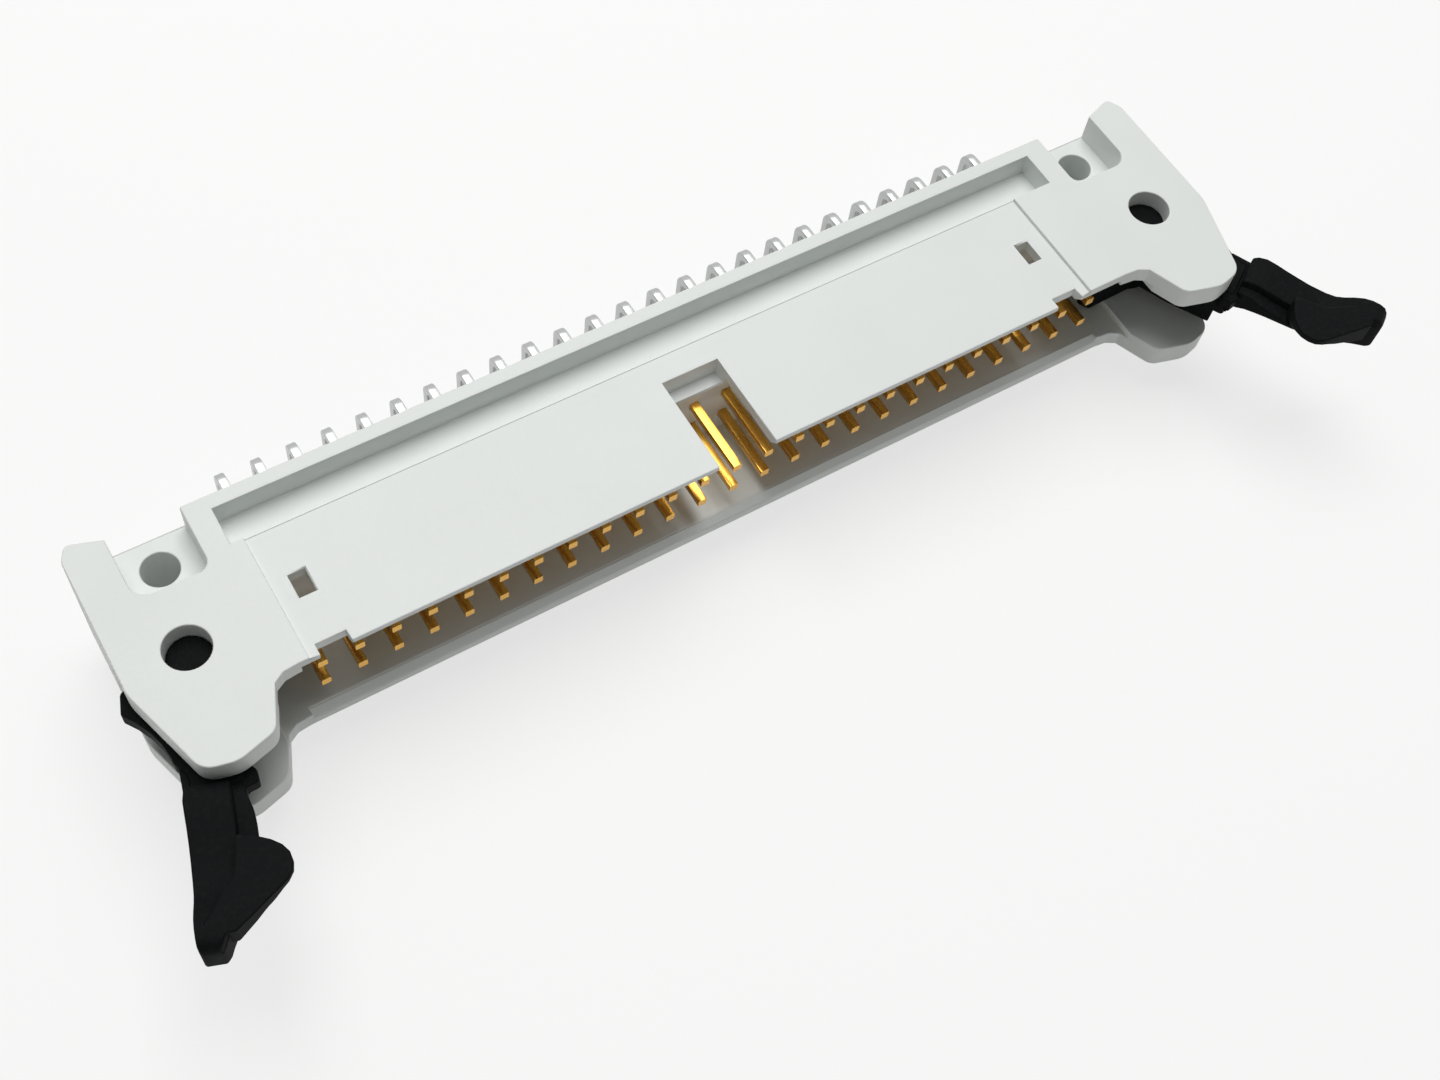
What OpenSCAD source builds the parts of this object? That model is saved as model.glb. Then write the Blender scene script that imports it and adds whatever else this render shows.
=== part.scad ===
// Right-angle box header for a ribbon-cable socket, with two latch levers.
// Two rows of square contacts stand in an open-mouthed housing; a lever in
// each forked ear hooks over the mated socket and pushes it out when opened.
// X runs along the rows, -Y is the mating side, +Z is up from the board.
// The origin lies midway between the two mounting holes, on the board.

/* [Contacts] */
// Distance between neighbouring contacts, and between the two rows
pitch = 2.54; // [2.3:0.02:2.7]
// Side of the square contact wire
wire = 0.64; // [0.5:0.02:0.8]
// Length of contact standing free inside the mouth
mating_len = 5.75; // [4:0.25:6.25]
// Length of the taper at the mating tip
tip_taper = 0.9; // [0.4:0.1:1.4]
// Width left flat at the mating tip
tip_flat = 0.24; // [0.15:0.03:0.4]
// Inside radius of the bend at the tail
bend_r = 0.35; // [0.2:0.05:0.6]
// Length of tail below the board face
tail_len = 3.0; // [2:0.1:4]
// Length of the taper at the tail's end
tail_cut = 0.5; // [0.2:0.1:0.8]
// Distance from the mounting-hole line back to the lower row's tails
lower_tail_y = 2.76; // [2.6:0.02:3.4]

/* [Housing] */
// Overall height of the housing
height = 9.0; // [8.6:0.1:10]
// Clear height of the mating mouth
mouth_h = 6.4; // [5.4:0.1:6.6]
// Slope cut off the mouth's long inner edges to lead a socket in
lead_in = 0.6; // [0.3:0.1:0.9]
// Depth from the mouth's edge to the base block
mouth_depth = 6.6; // [6.4:0.1:8]
// Clear length beyond the last contact, at each end of the mouth
mouth_end = 3.72; // [3.4:0.02:5]
// Depth of the base block that holds the contacts
block_depth = 6.85; // [6.5:0.05:8]
// Distance from the mounting-hole line back to the rear face
rear_y = 2.25; // [2.1:0.05:2.8]
// Depth of the step under the rear lip that clears the lower tails
tail_step = 1.25; // [1.1:0.05:1.5]
// Width of the rear lip on the roof
lip_w = 1.0; // [0.8:0.05:1.4]
// Width of the groove in front of the lip
groove_w = 2.9; // [2:0.1:3.1]
// Depth of that groove below the roof
groove_depth = 1.95; // [1.5:0.05:2.3]
// Depth of the screw pockets below the roof
pocket_depth = 2.3; // [1.6:0.1:2.4]
// Distance from the mounting-hole line forward to the front of its pocket
pocket_fwd = 2.65; // [2:0.05:3]
// Thickness of the wall between groove and screw pocket
pocket_wall = 1.7; // [1.2:0.1:2.2]
// Depth of the shallow panel moulded into the roof
panel_depth = 0.27; // [0.1:0.01:0.4]

/* [Key notch] */
// Width of the polarising notch in the roof
key_w = 4.4; // [3.6:0.1:5]
// How far the notch runs back over the base block
key_over = 1.0; // [0.5:0.1:1.5]
// Depth of that ledge below the roof
key_ledge = 2.0; // [1.6:0.1:2.4]

/* [Roof openings] */
// Distance from the first contact's column out to the windows
window_out = 0.9; // [0.4:0.1:1.2]
// Width of the two windows along the row
window_w = 1.2; // [0.8:0.1:1.6]
// Length of the windows
window_l = 1.8; // [1.2:0.1:2.4]
// Distance from the roof's front edge back to the window's middle
window_back = 5.1; // [3:0.1:5.2]
// Width of the end notches in the roof's front edge
nick_w = 2.1; // [1.2:0.1:2.6]
// Depth of those notches
nick_depth = 0.9; // [0.5:0.1:1.4]

/* [Ears] */
// Width of each ear beyond the mouth
ear_w = 7.6; // [7:0.1:9]
// Thickness of each plate of the fork
plate_t = 1.9; // [1.5:0.1:2.1]
// How far the ears reach in front of the mouth's edge
ear_reach = 4.1; // [3:0.1:5]
// Distance from the mouth's end out to the pivot hole
pivot_out = 3.29; // [3:0.05:3.8]
// Distance from the base block's face forward to the pivot hole
pivot_fwd = 2.46; // [2.4:0.02:3]
// Diameter of the pivot holes
pivot_d = 3.05; // [2.6:0.05:3.4]
// Distance from the mouth's end out to the mounting hole
screw_out = 2.4; // [2:0.05:2.8]
// Diameter of the mounting holes
screw_d = 2.5; // [2:0.1:2.8]

/* [Latch levers] */
// Opening of the left lever as it stands at rest
left_open = 20; // [0:1:50]
// Opening of the right lever as it stands at rest
right_open = 32; // [0:1:50]
// Length of the lever from the pivot to its tip
lever_len = 18.9; // [18:0.1:20]
// Distance from the pivot's line out to the back of the arm
arm_out = 0.9; // [0.6:0.1:1.2]
// Width of the arm's raised band
arm_w = 2.65; // [2.2:0.05:2.8]
// Thickness of the arm and of its tip
arm_t = 1.3; // [1:0.1:2]
// Width of the lower web along the arm's inner side
web_w = 1.3; // [1:0.1:1.5]
// Thickness of that web
web_t = 0.55; // [0.4:0.05:0.8]
// Thickness of the lever's body in front of the hub
body_t = 3.8; // [3:0.1:4.4]
// Distance from the pivot out to the nub on the lever's back
nub_out = 4.35; // [4.1:0.05:4.4]
// Distance from the pivot forward to the end of that nub
nub_fwd = 3.05; // [2.8:0.05:3.6]
// Distance from the pivot forward to the rear of the hook
hook_fwd = 12.3; // [11.8:0.1:12.8]
// How far the hook reaches inward from the pivot's line
hook_in = 4.8; // [4.2:0.1:5.2]
// Thickness of the hook and of the thumb rest beside it
hook_t = 2.1; // [1.6:0.1:2.3]
// How deep the hook's underside lies below the arm's top
hook_sink = 0.3; // [0.2:0.05:0.6]
// Reach of the ejector foot into the mouth
foot_in = 5.2; // [4.6:0.1:5.6]

/* [Fits] */
// Gap all round a contact in the housing
contact_gap = 0.02; // [0.01:0.01:0.05]
// Gap between a trunnion and its pivot hole, on the radius
pivot_gap = 0.05; // [0.02:0.01:0.1]
// Gap between a lever and each plate of the fork
fork_gap = 0.12; // [0.05:0.01:0.3]
// Depth of the trunnion's end below the outside of its plate
trunnion_sink = 1.3; // [0.6:0.1:1.5]

/* [Hidden] */
$fn = 48;
columns = 25;
half_row = (columns - 1) / 2 * pitch;
mid_z = height / 2;
upper_z = mid_z + pitch / 2;
lower_z = mid_z - pitch / 2;
upper_tail_y = lower_tail_y + pitch;
mouth_x = half_row + mouth_end;
ear_x = mouth_x + ear_w;
block_y = rear_y - block_depth;
mouth_y = block_y - mouth_depth;
ear_y = mouth_y - ear_reach;
screw_x = mouth_x + screw_out;
pivot_x = mouth_x + pivot_out;
pivot_y = block_y - pivot_fwd;
mouth_low = mid_z - mouth_h / 2;
mouth_top = mid_z + mouth_h / 2;
pocket_z = height - pocket_depth;
groove_z = height - groove_depth;
panel_z = height - panel_depth;
lip_front = rear_y - lip_w;
groove_front = lip_front - groove_w;
// The panel and the roof openings sit half a pitch off the middle.
panel_mid = -pitch / 2;
panel_half = half_row - 0.33;
fork_low = plate_t;
fork_top = height - plate_t;
lever_low = fork_low + fork_gap;
lever_top = fork_top - fork_gap;
trunnion_r = pivot_d / 2 - pivot_gap;
hub_r = pivot_fwd - 0.3;
arm_low = lever_top - arm_t;
arm_in = arm_out - arm_w;
web_in = arm_in - web_w;
// How far the fork reaches in front of the pivot.
ear_tip = pivot_y - ear_y;
// Longer than any cut has to be, so that cuts run clear of the faces.
over = 1;
TIN = [0.74, 0.74, 0.72];
GREY = [0.86, 0.87, 0.86];
BLACK = [0.05, 0.05, 0.055];

function two_digits(i) = str(i < 9 ? "0" : "", i + 1);
function upper_name(i) = str("upper_contact_", two_digits(i));
function lower_name(i) = str("lower_contact_", two_digits(i));

// Corner of an outline, given as [x, y, radius], replaced by its arc.
function unit(v) = v / norm(v);
function cross2(a, b) = a[0] * b[1] - a[1] * b[0];
function corner(p, q, r, steps = 6) =
    q[2] == 0 ? [[q[0], q[1]]] :
    let (
        c = [q[0], q[1]],
        a = unit([p[0], p[1]] - c),
        b = unit([r[0], r[1]] - c),
        half = acos(a * b) / 2,
        mid = c + unit(a + b) * q[2] / sin(half),
        start = c + a * q[2] / tan(half) - mid,
        turn = (cross2(a, b) > 0 ? -1 : 1) * (180 - 2 * half)
    )
    [for (k = [0:steps])
        let (t = turn * k / steps)
        mid + [start[0] * cos(t) - start[1] * sin(t), start[0] * sin(t) + start[1] * cos(t)]];
function rounded(pts) =
    let (n = len(pts))
    [for (i = [0:n - 1]) each corner(pts[(i + n - 1) % n], pts[i], pts[(i + 1) % n])];

// Box between two corners.
module block(low, high) {
    translate(low) cube(high - low);
}

// Outline of one ear from above, for the +X end.
ear_outline = rounded([
    [mouth_x - 1, rear_y, 0],
    [mouth_x + 4.8, rear_y, 0],
    [ear_x - 0.6, rear_y + 0.75, 0.5],
    [ear_x, rear_y - 0.3, 1.2],
    [ear_x, pivot_y - 1.2, 3],
    [ear_x - 1.9, ear_y + 0.5, 1.4],
    [mouth_x + 3.6, ear_y, 2.4],
    [mouth_x + 0.9, ear_y + 0.75, 1.1],
    [mouth_x - 0.3, mouth_y - 0.5, 0],
    [mouth_x - 1, mouth_y - 0.1, 0.3],
    [mouth_x - 2, mouth_y, 0]
]);

// One ear as solid stock, for the +X end.
module ear_stock() {
    linear_extrude(height) polygon(ear_outline);
}

// What is taken out of one ear: the fork's slot, the pivot and screw holes,
// and the pocket round the screw, which is open to the rear.
module ear_cuts() {
    block([mouth_x - over, ear_y - over, fork_low], [ear_x + over, block_y, fork_top]);
    translate([pivot_x, pivot_y, -over]) cylinder(d = pivot_d, h = height + 2 * over);
    translate([screw_x, 0, -over]) cylinder(d = screw_d, h = height + 2 * over);
    translate([0, 0, pocket_z]) linear_extrude(height) polygon(rounded([
        [mouth_x - 0.2, rear_y + 2, 0],
        [mouth_x - 0.2, -pocket_fwd, 0.8],
        [mouth_x + 4.7, -pocket_fwd, 1.2],
        [mouth_x + 4.7, rear_y + 2, 0]
    ]));
}

// Passages through the base block for one column of contacts.
module contact_passages() {
    side = wire + 2 * contact_gap;
    for (i = [0:columns - 1])
        for (z = [lower_z, upper_z])
            translate([(i - (columns - 1) / 2) * pitch - side / 2, block_y - over, z - side / 2])
                cube([side, block_depth + 2 * over, side]);
}

// Roof features: groove, shallow panel, key notch, windows and end notches.
module roof_cuts() {
    groove_x = mouth_x - 0.2 - pocket_wall;
    block([-groove_x, groove_front, groove_z], [groove_x, lip_front, height + over]);
    block([panel_mid - panel_half, mouth_y - over, panel_z],
        [panel_mid + panel_half, groove_front + over / 2, height + over]);
    block([-key_w / 2, mouth_y - over, mid_z], [key_w / 2, block_y, height + over]);
    block([-key_w / 2, block_y - over, height - key_ledge], [key_w / 2, block_y + key_over, height + over]);
    for (s = [-1, 1]) {
        x = panel_mid + s * (half_row - window_out - pitch / 2);
        translate([x, mouth_y + window_back, mid_z])
            linear_extrude(height) square([window_w, window_l], center = true);
        block([x - nick_w / 2 + s * 0.1, mouth_y - over, mid_z],
            [x + nick_w / 2 + s * 0.1, mouth_y + nick_depth, height + over]);
    }
}

// Slopes along the mouth's long edges, ending short of the ears.
module mouth_lead_in() {
    end_x = mouth_x - 2.2;
    translate([-end_x, 0, 0]) rotate([90, 0, 90]) linear_extrude(2 * end_x) polygon([
        [mouth_y + lead_in, mouth_top],
        [mouth_y - over, mouth_top + lead_in + over],
        [mouth_y - over, mouth_low - lead_in - over],
        [mouth_y + lead_in, mouth_low]
    ]);
}

// The moulded housing: base block, roof, floor and the two forked ears.
module housing() {
    color(GREY) difference() {
        union() {
            block([-mouth_x, mouth_y, 0], [mouth_x, rear_y, height]);
            ear_stock();
            mirror([1, 0, 0]) ear_stock();
        }
        block([-mouth_x, ear_y - over, mouth_low], [mouth_x, block_y, mouth_top]);
        mouth_lead_in();
        ear_cuts();
        mirror([1, 0, 0]) ear_cuts();
        block([-half_row - pitch, rear_y - tail_step, -over],
            [half_row + pitch, rear_y + over, mid_z + 0.1]);
        roof_cuts();
        contact_passages();
    }
}

// A contact: mating pin, passage through the block, one bend and the tail.
// Its outline from the side is cut by the taper that it has from above.
module contact(x, z, tail_y) {
    h = wire / 2;
    f = tip_flat / 2;
    y_tip = block_y - mating_len;
    y_full = y_tip + tip_taper;
    side_view = rounded([
        [y_tip, z - f, 0],
        [y_full, z - h, 0],
        [tail_y - h, z - h, bend_r],
        [tail_y - h, tail_cut - tail_len, 0],
        [tail_y - f, -tail_len, 0],
        [tail_y + f, -tail_len, 0],
        [tail_y + h, tail_cut - tail_len, 0],
        [tail_y + h, z + h, bend_r + wire],
        [y_full, z + h, 0],
        [y_tip, z + f, 0]
    ]);
    top_view = [[-f, y_tip], [f, y_tip], [h, y_full], [h, tail_y + wire], [-h, tail_y + wire], [-h, y_full]];
    color(TIN) translate([x, 0, 0]) intersection() {
        rotate([90, 0, 90]) linear_extrude(wire, center = true) polygon(side_view);
        translate([0, 0, -tail_len - over]) linear_extrude(tail_len + z + wire + over) polygon(top_view);
    }
}

module upper_contact(i) {
    contact((i - (columns - 1) / 2) * pitch, upper_z, upper_tail_y);
}

module lower_contact(i) {
    contact((i - (columns - 1) / 2) * pitch, lower_z, lower_tail_y);
}

// Lever outlines, with the pivot at the origin, x outward and y forward.
body_outline = rounded([
    [-hub_r + 0.2, 0, 0],
    [hub_r / 2, -hub_r / 2, 0.6],
    [nub_out, nub_fwd - 1.6, 0.4],
    [nub_out, nub_fwd, 0.4],
    [arm_out - 0.3, ear_tip - 0.7, 1.6],
    [arm_out - 0.3, ear_tip, 0],
    [web_in + 0.4, ear_tip, 0.3],
    [web_in + 0.5, ear_tip / 2, 2]
]);
arm_outline = rounded([
    [arm_out - 0.3, ear_tip - 0.8, 0],
    [arm_out, ear_tip + 3.6, 3],
    [arm_out, lever_len - 2.6, 0],
    [arm_in, lever_len - 2.6, 0],
    [arm_in - 0.2, ear_tip + 3.2, 3],
    [arm_in - 0.9, ear_tip - 0.8, 0]
]);
web_outline = rounded([
    [0, ear_tip - 0.8, 0],
    [0, lever_len - 2.6, 0],
    [arm_in, lever_len - 2.6, 0],
    [web_in, hook_fwd + 0.4, 0.6],
    [web_in, ear_tip + 2.3, 1],
    [web_in - 0.5, ear_tip + 0.3, 0.4],
    [web_in + 0.2, ear_tip - 0.8, 0]
]);
tip_outline = rounded([
    [arm_out, lever_len - 4, 0],
    [arm_out, lever_len - 1.9, 2],
    [arm_out - 0.35, lever_len, 0.4],
    [arm_out - 1.65, lever_len, 0.4],
    [arm_in + 0.2, lever_len - 1.9, 0.8],
    [arm_in, lever_len - 4, 0]
]);
hook_outline = rounded([
    [arm_in, hook_fwd, 0],
    [arm_in, lever_len - 3.4, 0.5],
    [arm_out, lever_len - 3.1, 0.3],
    [arm_out - 0.15, lever_len - 0.9, 0.8],
    [arm_out - 2, lever_len - 0.9, 0.7],
    [-hook_in + 0.3, hook_fwd + 3.2, 1.2],
    [-hook_in, hook_fwd + 1.3, 1.2],
    [web_in, hook_fwd, 0.3]
]);
foot_outline = rounded([
    [0, 1.4, 0],
    [-hub_r + 0.3, 1.1, 0.5],
    [-foot_in, -0.9, 0.4],
    [-foot_in, 0.5 - pivot_fwd, 0.4],
    [0, 0.3 - pivot_fwd, 0]
]);

// Flat layer of a lever between two heights.
module layer(low, high, outline) {
    translate([0, 0, low]) linear_extrude(high - low) polygon(outline);
}

// One lever in the closed position, for the +X end: hub with trunnions,
// ejector foot, body, arm with its web, tip, and the hook on top.
module lever_closed() {
    hook_low = lever_top - hook_sink;
    translate([0, 0, lever_low]) cylinder(r = hub_r, h = lever_top - lever_low);
    translate([0, 0, trunnion_sink]) cylinder(r = trunnion_r, h = height - 2 * trunnion_sink);
    layer(lever_low, lever_top, foot_outline);
    layer(lever_top - body_t, lever_top, body_outline);
    layer(arm_low, lever_top, arm_outline);
    layer(arm_low, arm_low + web_t, web_outline);
    layer(arm_low, lever_top, tip_outline);
    layer(hook_low, hook_low + hook_t, hook_outline);
}

// A lever set in its fork: x outward on the +X end, y forward to the mouth.
module lever_placed(opening) {
    color(BLACK) translate([pivot_x, pivot_y, 0]) rotate([0, 0, opening])
        mirror([0, 1, 0]) lever_closed();
}

module left_latch() {
    mirror([1, 0, 0]) lever_placed(left_open);
}

module right_latch() {
    lever_placed(right_open);
}

housing();
left_latch();
right_latch();
for (i = [0:columns - 1]) {
    upper_contact(i);
    lower_contact(i);
}
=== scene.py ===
"""Dress the latched right-angle box header around its CAD frame.

The header has a light-grey moulded housing, two rows of plated square-wire
contacts and a black lever at each end.  Everything is in metres, in the CAD
frame: X runs along the rows, -Y is the mating side, +Z is up from the board.
"""

import logging
import math
from dataclasses import dataclass, field
from enum import Enum
from typing import Any

import bmesh
import bpy
from mathutils import Matrix, Vector


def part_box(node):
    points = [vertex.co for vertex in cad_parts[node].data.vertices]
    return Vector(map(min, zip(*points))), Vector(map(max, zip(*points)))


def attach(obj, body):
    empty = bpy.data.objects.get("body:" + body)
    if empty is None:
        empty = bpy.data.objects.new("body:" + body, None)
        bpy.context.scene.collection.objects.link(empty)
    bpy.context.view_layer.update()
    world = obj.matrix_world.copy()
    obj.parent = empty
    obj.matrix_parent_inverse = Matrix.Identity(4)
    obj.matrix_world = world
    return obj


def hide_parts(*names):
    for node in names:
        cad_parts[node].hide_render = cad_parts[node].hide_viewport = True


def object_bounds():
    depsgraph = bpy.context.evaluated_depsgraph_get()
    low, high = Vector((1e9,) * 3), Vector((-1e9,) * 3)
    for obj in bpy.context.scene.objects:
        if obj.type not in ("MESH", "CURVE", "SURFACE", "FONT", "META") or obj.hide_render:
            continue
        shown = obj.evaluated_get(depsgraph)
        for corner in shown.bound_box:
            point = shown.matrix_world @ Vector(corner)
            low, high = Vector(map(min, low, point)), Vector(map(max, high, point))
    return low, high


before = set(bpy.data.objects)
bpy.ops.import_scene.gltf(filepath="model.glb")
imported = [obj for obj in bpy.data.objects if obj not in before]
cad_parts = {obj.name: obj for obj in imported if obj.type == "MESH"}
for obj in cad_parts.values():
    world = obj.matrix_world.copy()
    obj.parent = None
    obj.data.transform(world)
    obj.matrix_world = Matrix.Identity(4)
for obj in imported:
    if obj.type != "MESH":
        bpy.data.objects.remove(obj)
CAD_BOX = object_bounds()

MM = 0.001
LOG = logging.getLogger("header")


class Slot(Enum):
    """Material slots that the part's record names."""

    HOUSING = "housing"
    LATCH = "latch"
    CONTACT = "contact"


class Body(Enum):
    """Bodies of the part, each of which moves as one."""

    HEADER = "header"
    LEFT_LEVER = "left_lever"
    RIGHT_LEVER = "right_lever"


class Side(Enum):
    """End of the header that a lever sits at, with the sign of X there."""

    LEFT = -1
    RIGHT = 1


class Joining(Enum):
    """Ways to work one solid with another."""

    UNITE = "UNION"
    CUT = "DIFFERENCE"
    KEEP_SHARED = "INTERSECT"


def linear(colour: str, alpha: float = 1.0) -> tuple[float, float, float, float]:
    """Turn an sRGB hex colour into linear light.

    Args:
        colour: The colour as "#RRGGBB".
        alpha: The fourth value of the result.

    Returns:
        Red, green and blue as linear values, and alpha.
    """
    parts = [int(colour[i : i + 2], 16) / 255 for i in (1, 3, 5)]
    light = [c / 12.92 if c <= 0.04045 else ((c + 0.055) / 1.055) ** 2.4 for c in parts]
    return light[0], light[1], light[2], alpha


def per_metre(size_mm: float) -> float:
    """Return the texture scale that repeats once in a size given in millimetres."""
    return 1.0 / (size_mm * MM)


def add_node(
    tree: bpy.types.NodeTree,
    kind: str,
    inputs: dict[str | int, Any] | None = None,
    **settings: Any,
) -> bpy.types.Node:
    """Add one node with its settings and links.

    Args:
        tree: The tree that takes the node.
        kind: The node's type name.
        inputs: Input name or number, to a value or to a socket that is linked.
        **settings: Properties of the node itself.

    Returns:
        The new node.
    """
    node = tree.nodes.new(kind)
    for name, value in settings.items():
        setattr(node, name, value)
    for key, value in (inputs or {}).items():
        if isinstance(value, bpy.types.NodeSocket):
            tree.links.new(value, node.inputs[key])
        else:
            node.inputs[key].default_value = value
    return node


def blank_material(name: str) -> tuple[bpy.types.Material, bpy.types.NodeTree, bpy.types.Node]:
    """Make a material that holds only a surface shader.

    Args:
        name: The material's name.

    Returns:
        The material, its tree and its shader node.
    """
    material = bpy.data.materials.new(name)
    material.use_nodes = True
    tree = material.node_tree
    return material, tree, tree.nodes["Principled BSDF"]


@dataclass(frozen=True)
class MouldedPolyester:
    """Light-grey glass-filled polyester as it leaves the mould.

    The eye gets a satin, slightly cool pale grey with faint flow clouds and the
    very fine spark-eroded grain of the tool.
    """

    name: str = "moulded_grey_polyester"
    pale: str = "#E0E4E1"
    cloud: str = "#D8DCD9"
    cloud_mm: float = 7.0
    grit_mm: float = 0.3  # the tool's grain is finer; drawn this coarse to show
    roughness: tuple[float, float] = (0.42, 0.56)
    grain_depth_mm: float = 0.012
    grain_strength: float = 0.35
    ior: float = 1.57

    def material(self) -> bpy.types.Material:
        """Build the finish as a node material."""
        material, tree, shader = blank_material(self.name)
        place = add_node(tree, "ShaderNodeTexCoord").outputs["Object"]
        clouds = add_node(
            tree,
            "ShaderNodeTexNoise",
            {"Vector": place, "Scale": per_metre(self.cloud_mm), "Detail": 3.0, "Roughness": 0.55},
        )
        tint = add_node(
            tree,
            "ShaderNodeMix",
            {0: clouds.outputs["Fac"], 6: linear(self.pale), 7: linear(self.cloud)},
            data_type="RGBA",
        )
        grit = add_node(
            tree,
            "ShaderNodeTexNoise",
            {"Vector": place, "Scale": per_metre(self.grit_mm), "Detail": 2.0},
        )
        satin = add_node(
            tree,
            "ShaderNodeMapRange",
            {"Value": grit.outputs["Fac"], "To Min": self.roughness[0], "To Max": self.roughness[1]},
        )
        grain = add_node(
            tree,
            "ShaderNodeBump",
            {
                "Strength": self.grain_strength,
                "Distance": self.grain_depth_mm * MM,
                "Height": grit.outputs["Fac"],
            },
        )
        tree.links.new(tint.outputs[2], shader.inputs["Base Color"])
        tree.links.new(satin.outputs["Result"], shader.inputs["Roughness"])
        tree.links.new(grain.outputs["Normal"], shader.inputs["Normal"])
        shader.inputs["IOR"].default_value = self.ior
        return material


@dataclass(frozen=True)
class GlassFilledNylon:
    """Black glass-filled nylon as moulded.

    The eye gets a near-black satin skin in which short glass fibres show as a
    faint grey fleck, with soft highlights along the rounded edges.
    """

    name: str = "moulded_black_nylon"
    black: str = "#08090A"
    fleck: str = "#131515"
    fleck_mm: float = 0.35  # single fibres are finer; drawn this coarse to show
    fleck_range: tuple[float, float] = (0.48, 0.72)  # noise levels where a fleck starts and is full
    roughness: tuple[float, float] = (0.55, 0.70)
    sheen_level: float = 0.05  # the rough skin scatters most of its mirror light
    grain_depth_mm: float = 0.015
    grain_strength: float = 0.4
    ior: float = 1.53

    def material(self) -> bpy.types.Material:
        """Build the finish as a node material."""
        material, tree, shader = blank_material(self.name)
        place = add_node(tree, "ShaderNodeTexCoord").outputs["Object"]
        fibres = add_node(
            tree,
            "ShaderNodeTexNoise",
            {"Vector": place, "Scale": per_metre(self.fleck_mm), "Detail": 3.0, "Roughness": 0.6},
        )
        amount = add_node(
            tree,
            "ShaderNodeMapRange",
            {
                "Value": fibres.outputs["Fac"],
                "From Min": self.fleck_range[0],
                "From Max": self.fleck_range[1],
            },
        )
        tint = add_node(
            tree,
            "ShaderNodeMix",
            {0: amount.outputs["Result"], 6: linear(self.black), 7: linear(self.fleck)},
            data_type="RGBA",
        )
        satin = add_node(
            tree,
            "ShaderNodeMapRange",
            {"Value": fibres.outputs["Fac"], "To Min": self.roughness[0], "To Max": self.roughness[1]},
        )
        grain = add_node(
            tree,
            "ShaderNodeBump",
            {
                "Strength": self.grain_strength,
                "Distance": self.grain_depth_mm * MM,
                "Height": fibres.outputs["Fac"],
            },
        )
        tree.links.new(tint.outputs[2], shader.inputs["Base Color"])
        tree.links.new(satin.outputs["Result"], shader.inputs["Roughness"])
        tree.links.new(grain.outputs["Normal"], shader.inputs["Normal"])
        shader.inputs["Specular IOR Level"].default_value = self.sheen_level
        shader.inputs["IOR"].default_value = self.ior
        return material


@dataclass(frozen=True)
class PlatedWire:
    """Drawn copper-alloy wire, gold plated to mate and tinned to solder.

    The eye gets warm satin gold in the mouth, dull grey-white tin behind the
    block, and fine draw lines along the wire.
    """

    name: str = "plated_contact_wire"
    gold: str = "#DCA94C"
    tin: str = "#B4B6B5"
    change_mm: tuple[float, float] = (-3.4, -2.6)  # along Y, inside the block
    line_mm: float = 0.12
    line_stretch: float = 14.0
    line_depth_mm: float = 0.004
    line_strength: float = 0.2
    roughness: tuple[float, float] = (0.20, 0.36)

    def material(self) -> bpy.types.Material:
        """Build the finish as a node material."""
        material, tree, shader = blank_material(self.name)
        place = add_node(tree, "ShaderNodeTexCoord").outputs["Object"]
        axes = add_node(tree, "ShaderNodeSeparateXYZ", {"Vector": place})
        tinned = add_node(
            tree,
            "ShaderNodeMapRange",
            {
                "Value": axes.outputs["Y"],
                "From Min": self.change_mm[0] * MM,
                "From Max": self.change_mm[1] * MM,
            },
        )
        plating = add_node(
            tree,
            "ShaderNodeMix",
            {0: tinned.outputs["Result"], 6: linear(self.gold), 7: linear(self.tin)},
            data_type="RGBA",
        )
        drawn = add_node(
            tree,
            "ShaderNodeMapping",
            {"Vector": place, "Scale": (1.0, 1.0 / self.line_stretch, 1.0)},
        )
        lines = add_node(
            tree,
            "ShaderNodeTexNoise",
            {"Vector": drawn.outputs["Vector"], "Scale": per_metre(self.line_mm), "Detail": 1.0},
        )
        satin = add_node(
            tree,
            "ShaderNodeMapRange",
            {"Value": lines.outputs["Fac"], "To Min": self.roughness[0], "To Max": self.roughness[1]},
        )
        grain = add_node(
            tree,
            "ShaderNodeBump",
            {
                "Strength": self.line_strength,
                "Distance": self.line_depth_mm * MM,
                "Height": lines.outputs["Fac"],
            },
        )
        tree.links.new(plating.outputs[2], shader.inputs["Base Color"])
        tree.links.new(satin.outputs["Result"], shader.inputs["Roughness"])
        tree.links.new(grain.outputs["Normal"], shader.inputs["Normal"])
        shader.inputs["Metallic"].default_value = 1.0
        return material


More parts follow.
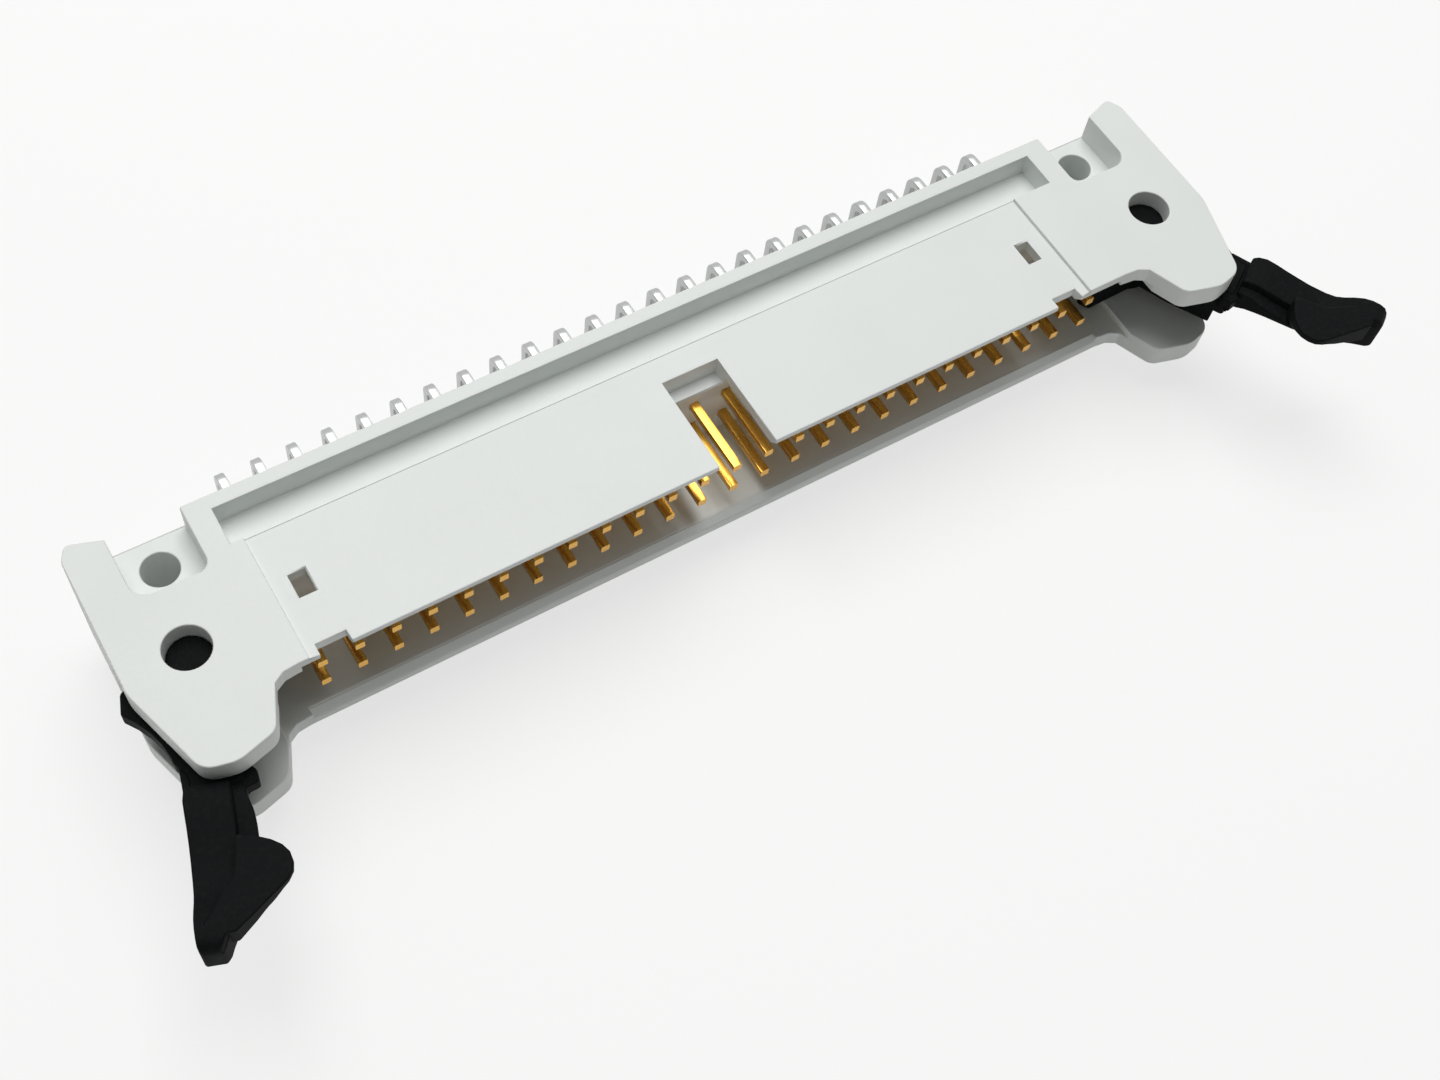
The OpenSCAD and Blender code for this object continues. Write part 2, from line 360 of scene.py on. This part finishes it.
@dataclass
class MouldedPiece:
    """A moulding whose CAD solid gets the small edge rounding of its tool."""

    node: str
    body: Body
    slot: Slot
    material: bpy.types.Material
    edge_mm: float = 0.12
    edge_steps: int = 3
    sharp_degrees: float = 35.0
    merge_mm: float = 0.001
    flat_degrees: float = 0.5
    crisp: tuple[Vector, Vector] | None = None  # box in which edges stay sharp

    def build(self) -> bpy.types.Object:
        """Copy the CAD solid, join its faces and round its edges.

        Returns:
            The finished piece, which stands for its CAD node.
        """
        shell = self.solid()
        bmesh.ops.remove_doubles(shell, verts=shell.verts, dist=self.merge_mm * MM)
        bmesh.ops.dissolve_limit(
            shell,
            angle_limit=math.radians(self.flat_degrees),
            verts=shell.verts,
            edges=shell.edges,
        )
        for face in shell.faces:
            face.smooth = True
            face.material_index = 0
        self.mark_edges(shell)
        mesh = bpy.data.meshes.new(self.node + "_moulded")
        shell.to_mesh(mesh)
        shell.free()
        if "custom_normal" in mesh.attributes:
            mesh.attributes.remove(mesh.attributes["custom_normal"])
        piece = bpy.data.objects.new(self.node + "_moulded", mesh)
        bpy.context.scene.collection.objects.link(piece)
        self.round_edges(piece)
        self.dress(piece)
        return piece

    def solid(self) -> bmesh.types.BMesh:
        """Return the form that is rounded, here a copy of the CAD solid."""
        shell = bmesh.new()
        shell.from_mesh(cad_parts[self.node].data)
        bmesh.ops.remove_doubles(shell, verts=shell.verts, dist=self.merge_mm * MM)
        return shell

    def mark_edges(self, shell: bmesh.types.BMesh) -> None:
        """Weigh the outer edges for rounding and keep the inner ones crisp."""
        weight = shell.edges.layers.float.new("bevel_weight_edge")
        for edge in shell.edges:
            if edge.calc_face_angle(0.0) < math.radians(self.sharp_degrees):
                continue
            if edge.is_convex and not self.is_crisp(edge):
                edge[weight] = 1.0
            else:
                edge.smooth = False

    def is_crisp(self, edge: bmesh.types.BMEdge) -> bool:
        """Tell whether an edge lies in the box that stays sharp."""
        if self.crisp is None:
            return False
        low, high = self.crisp
        middle = (edge.verts[0].co + edge.verts[1].co) / 2
        return all(a < c < b for a, c, b in zip(low, middle, high))

    def round_edges(self, piece: bpy.types.Object) -> None:
        """Give the piece's outer edges their small radius."""
        bevel = piece.modifiers.new("edge_rounding", "BEVEL")
        bevel.width = self.edge_mm * MM
        bevel.segments = self.edge_steps
        bevel.limit_method = "WEIGHT"
        bevel.use_clamp_overlap = False
        bevel.harden_normals = True

    def dress(self, piece: bpy.types.Object) -> None:
        """Give the piece its finish and its body, and hide the CAD node it stands in for."""
        piece.data.materials.append(self.material)
        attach(piece, self.body.value)
        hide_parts(self.node)


@dataclass(frozen=True)
class ArmSection:
    """Where the lever's arm is cut across, and its sizes there, in millimetres."""

    ahead: float
    back: float  # outer side
    step: float  # inner side of the raised band
    inner: float  # inner side of the lower web
    top: float
    low: float
    least_web: float = 0.2  # the web is never thinner than this
    flank: float = 0.1  # how far the band's inner flank leans out

    def corners(self, drop: float) -> list[tuple[float, float, float]]:
        """List the section's corners, with the web this far below the top."""
        web = max(self.top - drop, self.low + self.least_web)
        return [
            (self.back, self.ahead, self.low),
            (self.back, self.ahead, self.top),
            (self.step, self.ahead, self.top),
            (self.step - self.flank, self.ahead, web),
            (self.inner, self.ahead, web),
            (self.inner, self.ahead, self.low),
        ]


@dataclass
class LatchLever(MouldedPiece):
    """A latch lever: the CAD solid in its fork, with a finer arm, hook and nub.

    Its own axes start at the pivot: u runs out from the mouth, v forward along
    the arm, both in millimetres, and z is the header's own height.
    """

    side: Side = Side.RIGHT
    opening: float = 0.0
    pivot_mm: tuple[float, float] = (37.49, -7.06)
    fork_end: float = 8.3
    reach: float = 9.0  # further to each side of the pivot than the lever goes in its fork
    below: float = -1.0  # height of the cutters' underside, clear of the lever
    above: float = 11.0  # height of the cutters' top, clear of the lever
    web_drop: float = 0.55
    arm: tuple[ArmSection, ...] = (
        ArmSection(8.42, 0.80, -1.70, -2.50, 7.75, 5.60),
        ArmSection(8.80, 0.92, -1.75, -2.60, 7.95, 5.75),
        ArmSection(9.40, 0.97, -1.80, -2.70, 8.05, 6.05),
        ArmSection(10.2, 0.92, -1.85, -2.95, 7.98, 6.40),
        ArmSection(11.0, 0.86, -1.90, -3.05, 7.85, 6.55),
        ArmSection(12.0, 0.81, -1.90, -3.10, 7.70, 6.60),
        ArmSection(13.0, 0.78, -1.90, -3.10, 7.55, 6.60),
        ArmSection(14.2, 0.75, -1.90, -2.90, 7.50, 6.50),
        ArmSection(15.0, 0.73, -1.85, -2.60, 7.60, 6.35),
        ArmSection(15.6, 0.72, -1.75, -2.30, 7.90, 6.20),
        ArmSection(16.2, 0.72, -1.65, -2.00, 8.30, 6.05),
        ArmSection(16.8, 0.72, -1.50, -1.75, 8.60, 5.95),
        ArmSection(17.4, 0.70, -1.25, -1.45, 8.74, 5.88),
        ArmSection(18.0, 0.66, -1.00, -1.15, 8.74, 5.76),
        ArmSection(18.4, 0.62, -0.85, -1.00, 8.62, 5.72),
        ArmSection(18.65, 0.55, -0.70, -0.82, 8.35, 5.72),
        ArmSection(18.8, 0.45, -0.60, -0.70, 7.95, 5.80),
    )
    hook: tuple[tuple[float, float, float], ...] = (  # out, ahead, underside
        (-1.95, 12.2, 6.9),
        (-3.05, 12.45, 7.3),
        (-3.9, 12.8, 7.9),
        (-4.5, 13.2, 8.15),
        (-4.9, 13.7, 8.2),
        (-5.05, 14.3, 8.2),
        (-5.0, 14.85, 8.2),
        (-4.7, 15.35, 8.15),
        (-3.75, 16.15, 7.9),
        (-2.7, 17.05, 7.3),
        (-1.6, 17.95, 6.9),
        (-0.7, 17.95, 6.9),
        (0.2, 17.3, 6.9),
        (-1.7, 14.6, 6.9),
    )
    hook_top: float = 8.74
    root: tuple[tuple[float, float], ...] = (
        (1.2, 6.9),
        (1.08, 8.0),
        (0.97, 9.3),
        (-2.5, 9.3),
        (-2.65, 8.7),
        (-3.4, 8.4),
        (-3.3, 7.6),
        (-2.6, 6.9),
    )
    root_low: float = 5.9
    root_top: float = 6.97
    nub_cut: tuple[tuple[float, float], ...] = (
        (5.5, 2.3),
        (4.5, 2.75),
        (3.5, 3.5),
        (2.7, 4.3),
        (2.1, 5.1),
        (1.6, 6.1),
        (1.25, 7.2),
        (1.1, 9.0),
        (5.5, 9.0),
    )
    nub_under: tuple[tuple[float, float], ...] = (
        (1.0, 9.0),
        (1.0, 3.0),
        (2.5, 1.6),
        (5.5, -1.0),
        (5.5, 9.0),
    )
    nub_low: float = 5.7
    front_under: tuple[tuple[float, float], ...] = (
        (-5.0, 9.0),
        (-5.0, 7.5),
        (5.5, 7.5),
        (5.5, 9.0),
    )
    front_low: float = 4.5

    def place(self, u: float, v: float, z: float) -> Vector:
        """Carry a point from the lever's own axes to the header's frame."""
        turn = math.radians(self.opening)
        x = self.pivot_mm[0] + u * math.cos(turn) + v * math.sin(turn)
        y = self.pivot_mm[1] + u * math.sin(turn) - v * math.cos(turn)
        return Vector((self.side.value * x, y, z)) * MM

    def loft(self, rings: list[list[tuple[float, float, float]]]) -> bmesh.types.BMesh:
        """Skin rings of points into one closed solid.

        Args:
            rings: Rings of equally many points, on the lever's own axes.

        Returns:
            The solid, with its faces outward.
        """
        solid = bmesh.new()
        placed = [[solid.verts.new(self.place(*point)) for point in ring] for ring in rings]
        count = len(rings[0])
        for near, far in zip(placed, placed[1:]):
            for i in range(count):
                j = (i + 1) % count
                solid.faces.new((near[i], near[j], far[j], far[i]))
        solid.faces.new(placed[0])
        solid.faces.new(placed[-1])
        bmesh.ops.recalc_face_normals(solid, faces=solid.faces)
        return solid

    def prism(
        self, outline: tuple[tuple[float, float], ...], low: float, high: float
    ) -> bmesh.types.BMesh:
        """Raise an outline between two heights.

        Args:
            outline: Points out and ahead of the pivot.
            low: Height of the underside.
            high: Height of the top.

        Returns:
            The closed solid.
        """
        return self.loft([[(u, v, z) for u, v in outline] for z in (low, high)])

    def join(
        self, base: bmesh.types.BMesh, tool: bmesh.types.BMesh, way: Joining
    ) -> bmesh.types.BMesh:
        """Unite two solids, or cut one with the other.

        Args:
            base: The solid that is worked on, which is used up.
            tool: The other solid, which is used up too.
            way: What is done with the two.

        Returns:
            The result.
        """
        pieces = []
        for part in (base, tool):
            mesh = bpy.data.meshes.new("lever_stock")
            part.to_mesh(mesh)
            part.free()
            pieces.append(bpy.data.objects.new("lever_stock", mesh))
            bpy.context.scene.collection.objects.link(pieces[-1])
        cut = pieces[0].modifiers.new("cut", "BOOLEAN")
        cut.operation = way.value
        cut.object = pieces[1]
        cut.solver = "EXACT"
        graph = bpy.context.evaluated_depsgraph_get()
        result = bmesh.new()
        result.from_object(pieces[0], graph)
        for piece in pieces:
            bpy.data.objects.remove(piece)
        bmesh.ops.remove_doubles(result, verts=result.verts, dist=self.merge_mm * MM)
        return result

    def solid(self) -> bmesh.types.BMesh:
        """Cut the CAD solid off in front of its fork and add the finer arm and hook."""
        side, end = self.reach, self.fork_end
        fork = ((-side, -side), (side, -side), (side, end), (-side, end))
        hook = self.loft(
            [
                [(u, v, low) for u, v, low in self.hook],
                [(u, v, self.hook_top) for u, v, _ in self.hook],
            ]
        )
        arm = self.loft([section.corners(self.web_drop) for section in self.arm])
        lever = self.join(
            super().solid(), self.prism(fork, self.below, self.above), Joining.KEEP_SHARED
        )
        for outline, height in (
            (self.nub_cut, self.above),
            (self.nub_under, self.nub_low),
            (self.front_under, self.front_low),
        ):
            lever = self.join(lever, self.prism(outline, self.below, height), Joining.CUT)
        for part in (self.prism(self.root, self.root_low, self.root_top), arm, hook):
            lever = self.join(lever, part, Joining.UNITE)
        return lever


@dataclass
class ContactRow:
    """One row of bent square-wire contacts, made by one Geometry Nodes tree."""

    name: str
    material: bpy.types.Material
    columns: int = 25
    wire_mm: float = 0.64
    corner_mm: float = 0.06
    taper_mm: float = 0.9
    tip_share: float = 0.375
    tail_cut_mm: float = 0.5
    bend_mm: float = 0.67
    bend_steps: int = 6
    corner_steps: int = 2
    sharp_degrees: float = 35.0
    nodes: list[str] = field(init=False)

    def __post_init__(self) -> None:
        """Name the CAD contacts that the row stands for."""
        self.nodes = [f"{self.name}_{i:02d}" for i in range(1, self.columns + 1)]

    def centre_line(self) -> bpy.types.Object:
        """Draw the first contact's centre line, tip to tail, with its tapers.

        Returns:
            A curve object of one open spline.
        """
        low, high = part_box(self.nodes[0])
        half = self.wire_mm / 2 * MM
        x, row_z, tail_y = (low.x + high.x) / 2, high.z - half, high.y - half
        cut = self.tail_cut_mm * MM
        points = [
            ((x, low.y, row_z), self.tip_share),
            ((x, low.y + self.taper_mm * MM, row_z), 1.0),
            ((x, tail_y, row_z), 1.0),
            ((x, tail_y, low.z + cut), 1.0),
            ((x, tail_y, low.z), self.tip_share),
        ]
        curve = bpy.data.curves.new(self.name + "_line", "CURVE")
        curve.dimensions = "3D"
        spline = curve.splines.new("POLY")
        spline.points.add(len(points) - 1)
        for point, (place, width) in zip(spline.points, points):
            point.co = (*place, 1.0)
            point.radius = width
        line = bpy.data.objects.new(self.name + "_line", curve)
        bpy.context.scene.collection.objects.link(line)
        return line

    def tree(self) -> bpy.types.NodeTree:
        """Build the tree that sweeps the wire and repeats it along the row.

        Returns:
            A geometry node group with named inputs for the row's sizes.
        """
        group = bpy.data.node_groups.new(self.name + "_row", "GeometryNodeTree")
        face = group.interface
        face.new_socket("Line", in_out="INPUT", socket_type="NodeSocketGeometry")
        face.new_socket("Columns", in_out="INPUT", socket_type="NodeSocketInt")
        for size in ("Pitch", "Wire", "Corner", "Bend"):
            face.new_socket(size, in_out="INPUT", socket_type="NodeSocketFloat")
        face.new_socket("Finish", in_out="INPUT", socket_type="NodeSocketMaterial")
        face.new_socket("Row", in_out="OUTPUT", socket_type="NodeSocketGeometry")

        given = add_node(group, "NodeGroupInput").outputs
        path = add_node(
            group,
            "GeometryNodeFilletCurve",
            {"Curve": given["Line"], "Count": self.bend_steps, "Radius": given["Bend"]},
            mode="POLY",
        )
        square = add_node(
            group,
            "GeometryNodeCurvePrimitiveQuadrilateral",
            {"Width": given["Wire"], "Height": given["Wire"]},
        )
        section = add_node(
            group,
            "GeometryNodeFilletCurve",
            {"Curve": square.outputs["Curve"], "Count": self.corner_steps, "Radius": given["Corner"]},
            mode="POLY",
        )
        wire = add_node(
            group,
            "GeometryNodeCurveToMesh",
            {"Curve": path.outputs["Curve"], "Profile Curve": section.outputs["Curve"], "Fill Caps": True},
        )
        step = add_node(group, "ShaderNodeCombineXYZ", {"X": given["Pitch"]})
        places = add_node(
            group,
            "GeometryNodeMeshLine",
            {"Count": given["Columns"], "Offset": step.outputs["Vector"]},
        )
        row = add_node(
            group,
            "GeometryNodeInstanceOnPoints",
            {"Points": places.outputs["Mesh"], "Instance": wire.outputs["Mesh"]},
        )
        solid = add_node(group, "GeometryNodeRealizeInstances", {"Geometry": row.outputs["Instances"]})
        plated = add_node(
            group,
            "GeometryNodeSetMaterial",
            {"Geometry": solid.outputs["Geometry"], "Material": given["Finish"]},
        )
        add_node(group, "NodeGroupOutput", {"Row": plated.outputs["Geometry"]})
        return group

    def build(self) -> bpy.types.Object:
        """Make the row as one plain mesh on the header.

        Returns:
            The finished row, which stands for its CAD contacts.
        """
        line = self.centre_line()
        modifier = line.modifiers.new("contact_row", "NODES")
        modifier.node_group = self.tree()
        first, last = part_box(self.nodes[0])[0].x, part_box(self.nodes[-1])[0].x
        sizes = {
            "Columns": self.columns,
            "Pitch": (last - first) / (self.columns - 1),
            "Wire": self.wire_mm * MM,
            "Corner": self.corner_mm * MM,
            "Bend": self.bend_mm * MM,
            "Finish": self.material,
        }
        for item in modifier.node_group.interface.items_tree:
            if item.name in sizes:
                modifier[item.identifier] = sizes[item.name]
        graph = bpy.context.evaluated_depsgraph_get()
        mesh = bpy.data.meshes.new_from_object(line.evaluated_get(graph), depsgraph=graph)
        mesh.name = self.name + "_row"
        bpy.data.objects.remove(line)
        mesh.set_sharp_from_angle(angle=math.radians(self.sharp_degrees))
        row = bpy.data.objects.new(self.name + "_row", mesh)
        bpy.context.scene.collection.objects.link(row)
        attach(row, Body.HEADER.value)
        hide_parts(*self.nodes)
        return row


@dataclass(frozen=True)
class PhotoCamera:
    """The camera at the photograph's viewing angle, over the left front corner."""

    place_mm: tuple[float, float, float] = (-43.75, -60.79, 109.82)
    azimuth: float = -40.715
    elevation: float = 59.640
    roll: float = 10.684
    lens_mm: float = 45.6
    sensor_mm: float = 36.0
    nearest_mm: float = 1.0

    def build(self) -> bpy.types.Object:
        """Create the camera and make it the scene's own."""
        turn, tilt, roll = (math.radians(a) for a in (self.azimuth, self.elevation, self.roll))
        level = math.cos(tilt)
        view = Vector((-math.sin(turn) * level, math.cos(turn) * level, -math.sin(tilt)))
        flat_right = Vector((math.cos(turn), math.sin(turn), 0.0))
        flat_up = flat_right.cross(view)
        right = math.cos(roll) * flat_right + math.sin(roll) * flat_up
        up = math.cos(roll) * flat_up - math.sin(roll) * flat_right
        data = bpy.data.cameras.new("photo_camera")
        data.lens = self.lens_mm
        data.sensor_width = self.sensor_mm
        data.sensor_fit = "HORIZONTAL"
        data.clip_start = self.nearest_mm * MM
        camera = bpy.data.objects.new("photo_camera", data)
        turned = Matrix((right, up, -view)).transposed().to_4x4()
        camera.matrix_world = Matrix.Translation(Vector(self.place_mm) * MM) @ turned
        bpy.context.scene.collection.objects.link(camera)
        bpy.context.scene.camera = camera
        return camera


@dataclass(frozen=True)
class Softbox:
    """One large soft lamp of the studio."""

    name: str
    place_mm: tuple[float, float, float]
    size_mm: float
    watts: float

    def build(self) -> bpy.types.Object:
        """Hang the lamp and turn it to the middle of the header."""
        data = bpy.data.lights.new(self.name, "AREA")
        data.shape = "SQUARE"
        data.size = self.size_mm * MM
        data.energy = self.watts
        lamp = bpy.data.objects.new(self.name, data)
        place = Vector(self.place_mm) * MM
        aim = -place
        lamp.matrix_world = Matrix.Translation(place) @ aim.to_track_quat("-Z", "Y").to_matrix().to_4x4()
        bpy.context.scene.collection.objects.link(lamp)
        return lamp


@dataclass(frozen=True)
class Studio:
    """White table and plain soft light."""

    floor_mm: float = 700.0
    floor_gap_mm: float = 0.02
    paper: str = "#F4F4F3"
    paper_roughness: float = 0.9
    glow_share: float = 0.7
    world_strength: float = 0.18
    lamps: tuple[Softbox, ...] = (
        Softbox("overhead_softbox", (40.0, 130.0, 390.0), 340.0, 1.55),
    )

    def build(self) -> None:
        """Make the table, the world and the lamps."""
        self.table()
        self.world()
        for lamp in self.lamps:
            lamp.build()

    def seen(self, tree: bpy.types.NodeTree) -> bpy.types.NodeSocket:
        """Return a socket that is 1 for rays that see the ground or reflect it."""
        ray = add_node(tree, "ShaderNodeLightPath").outputs
        mirrored = add_node(
            tree,
            "ShaderNodeMath",
            {0: ray["Is Glossy Ray"], 1: ray["Is Transmission Ray"]},
            operation="MAXIMUM",
        )
        return add_node(
            tree,
            "ShaderNodeMath",
            {0: ray["Is Camera Ray"], 1: mirrored.outputs[0]},
            operation="MAXIMUM",
        ).outputs[0]

    def table(self) -> bpy.types.Object:
        """Lay the white table top under the header's lowest point."""
        half = self.floor_mm / 2 * MM
        level = CAD_BOX[0][2] - self.floor_gap_mm * MM
        mesh = bpy.data.meshes.new("table_top")
        mesh.from_pydata(
            [(-half, -half, level), (half, -half, level), (half, half, level), (-half, half, level)],
            [],
            [(0, 1, 2, 3)],
        )
        material, tree, shader = blank_material("white_paper")
        shader.inputs["Base Color"].default_value = linear(self.paper)
        shader.inputs["Roughness"].default_value = self.paper_roughness
        glow = add_node(tree, "ShaderNodeEmission", {"Color": (1.0, 1.0, 1.0, 1.0)})
        share = add_node(
            tree, "ShaderNodeMath", {0: self.seen(tree), 1: self.glow_share}, operation="MULTIPLY"
        )
        paper = add_node(
            tree,
            "ShaderNodeMixShader",
            {0: share.outputs[0], 1: shader.outputs["BSDF"], 2: glow.outputs["Emission"]},
        )
        tree.links.new(paper.outputs["Shader"], tree.nodes["Material Output"].inputs["Surface"])
        mesh.materials.append(material)
        floor = bpy.data.objects.new("table_top", mesh)
        bpy.context.scene.collection.objects.link(floor)
        return floor

    def world(self) -> None:
        """Surround the scene with plain white light."""
        world = bpy.data.worlds.new("soft_room")
        world.use_nodes = True
        tree = world.node_tree
        back = tree.nodes["Background"]
        back.inputs["Color"].default_value = (1.0, 1.0, 1.0, 1.0)
        strength = add_node(
            tree,
            "ShaderNodeMapRange",
            {"Value": self.seen(tree), "To Min": self.world_strength, "To Max": 1.0},
        )
        tree.links.new(strength.outputs["Result"], back.inputs["Strength"])
        bpy.context.scene.world = world


def contact_field(margin_mm: float = 0.3) -> tuple[Vector, Vector]:
    """Find the box that holds the contacts' straight runs and their passages.

    Args:
        margin_mm: How far the box reaches past the contacts.

    Returns:
        The box's lowest and highest corner.
    """
    first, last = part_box("lower_contact_01"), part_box("upper_contact_25")
    margin, wire = margin_mm * MM, ContactRow.wire_mm * MM
    low = Vector((first[0].x, first[0].y, first[1].z - wire)) - Vector((margin, margin, margin))
    high = Vector(last[1]) + Vector((margin, margin, margin))
    return low, high


def main() -> None:
    """Build every piece of the header and the studio around it."""
    logging.basicConfig(level=logging.INFO, format="%(name)s: %(message)s")
    bpy.context.scene.view_settings.view_transform = "Standard"
    grey = MouldedPolyester().material()
    black = GlassFilledNylon().material()
    plated = PlatedWire().material()

    PhotoCamera().build()
    Studio().build()
    mouldings = (
        MouldedPiece("housing", Body.HEADER, Slot.HOUSING, grey, edge_mm=0.1, crisp=contact_field()),
        LatchLever("left_latch", Body.LEFT_LEVER, Slot.LATCH, black, side=Side.LEFT, opening=20.0),
        LatchLever("right_latch", Body.RIGHT_LEVER, Slot.LATCH, black, side=Side.RIGHT, opening=32.0),
    )
    rows = (ContactRow("upper_contact", plated), ContactRow("lower_contact", plated))
    for maker in (*mouldings, *rows):
        piece = maker.build()
        LOG.info("%s: %d faces", piece.name, len(piece.data.polygons))


if __name__ == "__main__":
    main()
